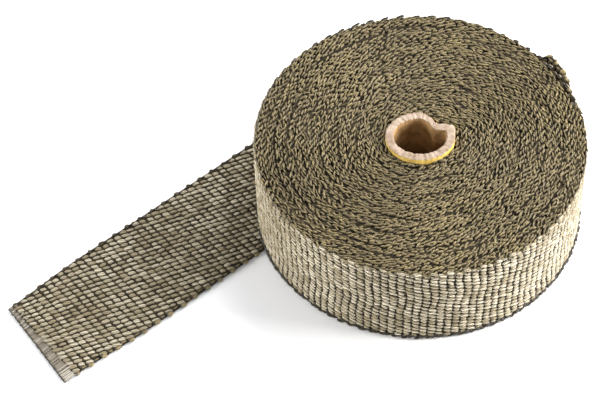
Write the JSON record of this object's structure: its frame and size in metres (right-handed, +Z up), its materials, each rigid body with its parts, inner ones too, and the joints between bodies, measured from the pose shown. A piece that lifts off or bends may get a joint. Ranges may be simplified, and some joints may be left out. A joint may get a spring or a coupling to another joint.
{
  "type": "exhaust heat wrap",
  "caption": "Roll of woven bronze heat wrap tape on a cardboard core, standing on its end, with a free tail drawn out flat from under the roll.",
  "frame": {"origin": "on the floor under the middle of the whole part's box, roll and tail together", "axes": "+Z up along the roll's axis, -Y towards the picture's camera, +X to its right, the tail runs out towards -X and -Y"},
  "size_m": [0.2724, 0.1718, 0.0522],
  "materials": {
    "woven_tape": "coarse plain weave of bronze mineral fibre yarn with pale floats and dark gaps",
    "cardboard": "matt brown board with a pale cut rim and a yellow outer ply"
  },
  "bodies": {
    "root": {"wrap_tape": "woven_tape", "core_tube": "cardboard"}
  },
  "joints": []
}
